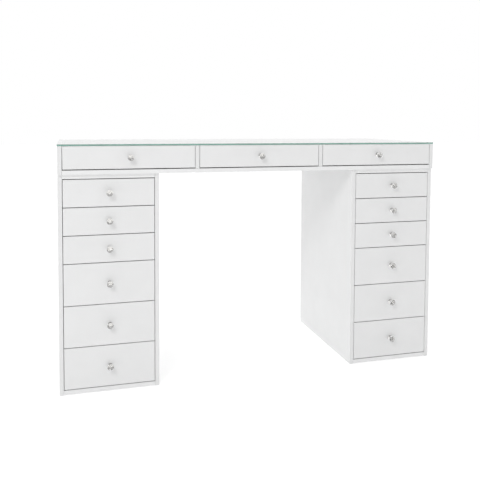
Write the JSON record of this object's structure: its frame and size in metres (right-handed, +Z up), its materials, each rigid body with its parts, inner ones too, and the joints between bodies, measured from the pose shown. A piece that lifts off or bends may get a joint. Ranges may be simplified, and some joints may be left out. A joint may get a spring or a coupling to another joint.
{
  "type": "salon styling station",
  "caption": "White double-pedestal vanity desk for a styling station: clear glass top over shallow drawers, a stack of drawers in each pedestal, crystal knobs, and an open knee space.",
  "frame": {"origin": "on the floor, under the middle of the bounding box, which runs from the front of the knobs to the back edge of the glass", "axes": "+X to the right as seen by a person seated at the station, along its length; +Y towards its back; +Z up. The drawers open towards -Y"},
  "size_m": [1.3, 0.522, 0.785],
  "materials": {
    "white_board": "smooth white laminate on board, satin",
    "back_panel": "white-faced hardboard, matte",
    "drawer_board": "white foil on board, matte",
    "clear_glass": "clear float glass with green polished edges",
    "crystal": "cut clear crystal, backed with a bright foil",
    "knob_chrome": "polished chrome",
    "runner_steel": "white epoxy powder coat on rolled steel",
    "roller_nylon": "moulded nylon",
    "screw_steel": "zinc-plated steel",
    "clear_pad": "clear soft polyurethane",
    "glide_plastic": "grey moulded plastic"
  },
  "bodies": {
    "carcass": {"glass_top": "clear_glass", "worktop_left_side": "white_board", "worktop_right_side": "white_board", "worktop_bottom": "white_board", "worktop_back_and_dividers": "white_board", "left_pedestal_outer_side": "white_board", "left_pedestal_inner_side": "white_board", "left_pedestal_top": "white_board", "left_pedestal_bottom": "white_board", "left_pedestal_back": "back_panel", "right_pedestal_outer_side": "white_board", "right_pedestal_inner_side": "white_board", "right_pedestal_top": "white_board", "right_pedestal_bottom": "white_board", "right_pedestal_back": "back_panel"},
    "worktop_left_drawer": {"worktop_left_drawer_front": "white_board", "worktop_left_drawer_box": "drawer_board", "worktop_left_drawer_knob": "crystal"},
    "worktop_middle_drawer": {"worktop_middle_drawer_front": "white_board", "worktop_middle_drawer_box": "drawer_board", "worktop_middle_drawer_knob": "crystal"},
    "worktop_right_drawer": {"worktop_right_drawer_front": "white_board", "worktop_right_drawer_box": "drawer_board", "worktop_right_drawer_knob": "crystal"},
    "left_pedestal_drawer_1": {"left_pedestal_drawer_1_front": "white_board", "left_pedestal_drawer_1_box": "drawer_board", "left_pedestal_drawer_1_knob": "crystal"},
    "left_pedestal_drawer_2": {"left_pedestal_drawer_2_front": "white_board", "left_pedestal_drawer_2_box": "drawer_board", "left_pedestal_drawer_2_knob": "crystal"},
    "left_pedestal_drawer_3": {"left_pedestal_drawer_3_front": "white_board", "left_pedestal_drawer_3_box": "drawer_board", "left_pedestal_drawer_3_knob": "crystal"},
    "left_pedestal_drawer_4": {"left_pedestal_drawer_4_front": "white_board", "left_pedestal_drawer_4_box": "drawer_board", "left_pedestal_drawer_4_knob": "crystal"},
    "left_pedestal_drawer_5": {"left_pedestal_drawer_5_front": "white_board", "left_pedestal_drawer_5_box": "drawer_board", "left_pedestal_drawer_5_knob": "crystal"},
    "left_pedestal_drawer_6": {"left_pedestal_drawer_6_front": "white_board", "left_pedestal_drawer_6_box": "drawer_board", "left_pedestal_drawer_6_knob": "crystal"},
    "right_pedestal_drawer_1": {"right_pedestal_drawer_1_front": "white_board", "right_pedestal_drawer_1_box": "drawer_board", "right_pedestal_drawer_1_knob": "crystal"},
    "right_pedestal_drawer_2": {"right_pedestal_drawer_2_front": "white_board", "right_pedestal_drawer_2_box": "drawer_board", "right_pedestal_drawer_2_knob": "crystal"},
    "right_pedestal_drawer_3": {"right_pedestal_drawer_3_front": "white_board", "right_pedestal_drawer_3_box": "drawer_board", "right_pedestal_drawer_3_knob": "crystal"},
    "right_pedestal_drawer_4": {"right_pedestal_drawer_4_front": "white_board", "right_pedestal_drawer_4_box": "drawer_board", "right_pedestal_drawer_4_knob": "crystal"},
    "right_pedestal_drawer_5": {"right_pedestal_drawer_5_front": "white_board", "right_pedestal_drawer_5_box": "drawer_board", "right_pedestal_drawer_5_knob": "crystal"},
    "right_pedestal_drawer_6": {"right_pedestal_drawer_6_front": "white_board", "right_pedestal_drawer_6_box": "drawer_board", "right_pedestal_drawer_6_knob": "crystal"}
  },
  "joints": [
    {"name": "worktop_left_drawer_slide", "type": "slide", "parent": "carcass", "child": "worktop_left_drawer", "axis": [0, -1, 0], "range_m": [0, 0.3]},
    {"name": "worktop_middle_drawer_slide", "type": "slide", "parent": "carcass", "child": "worktop_middle_drawer", "axis": [0, -1, 0], "range_m": [0, 0.3]},
    {"name": "worktop_right_drawer_slide", "type": "slide", "parent": "carcass", "child": "worktop_right_drawer", "axis": [0, -1, 0], "range_m": [0, 0.3]},
    {"name": "left_pedestal_drawer_1_slide", "type": "slide", "parent": "carcass", "child": "left_pedestal_drawer_1", "axis": [0, -1, 0], "range_m": [0, 0.3]},
    {"name": "left_pedestal_drawer_2_slide", "type": "slide", "parent": "carcass", "child": "left_pedestal_drawer_2", "axis": [0, -1, 0], "range_m": [0, 0.3]},
    {"name": "left_pedestal_drawer_3_slide", "type": "slide", "parent": "carcass", "child": "left_pedestal_drawer_3", "axis": [0, -1, 0], "range_m": [0, 0.3]},
    {"name": "left_pedestal_drawer_4_slide", "type": "slide", "parent": "carcass", "child": "left_pedestal_drawer_4", "axis": [0, -1, 0], "range_m": [0, 0.3]},
    {"name": "left_pedestal_drawer_5_slide", "type": "slide", "parent": "carcass", "child": "left_pedestal_drawer_5", "axis": [0, -1, 0], "range_m": [0, 0.3]},
    {"name": "left_pedestal_drawer_6_slide", "type": "slide", "parent": "carcass", "child": "left_pedestal_drawer_6", "axis": [0, -1, 0], "range_m": [0, 0.3]},
    {"name": "right_pedestal_drawer_1_slide", "type": "slide", "parent": "carcass", "child": "right_pedestal_drawer_1", "axis": [0, -1, 0], "range_m": [0, 0.3]},
    {"name": "right_pedestal_drawer_2_slide", "type": "slide", "parent": "carcass", "child": "right_pedestal_drawer_2", "axis": [0, -1, 0], "range_m": [0, 0.3]},
    {"name": "right_pedestal_drawer_3_slide", "type": "slide", "parent": "carcass", "child": "right_pedestal_drawer_3", "axis": [0, -1, 0], "range_m": [0, 0.3]},
    {"name": "right_pedestal_drawer_4_slide", "type": "slide", "parent": "carcass", "child": "right_pedestal_drawer_4", "axis": [0, -1, 0], "range_m": [0, 0.3]},
    {"name": "right_pedestal_drawer_5_slide", "type": "slide", "parent": "carcass", "child": "right_pedestal_drawer_5", "axis": [0, -1, 0], "range_m": [0, 0.3]},
    {"name": "right_pedestal_drawer_6_slide", "type": "slide", "parent": "carcass", "child": "right_pedestal_drawer_6", "axis": [0, -1, 0], "range_m": [0, 0.3]}
  ]
}
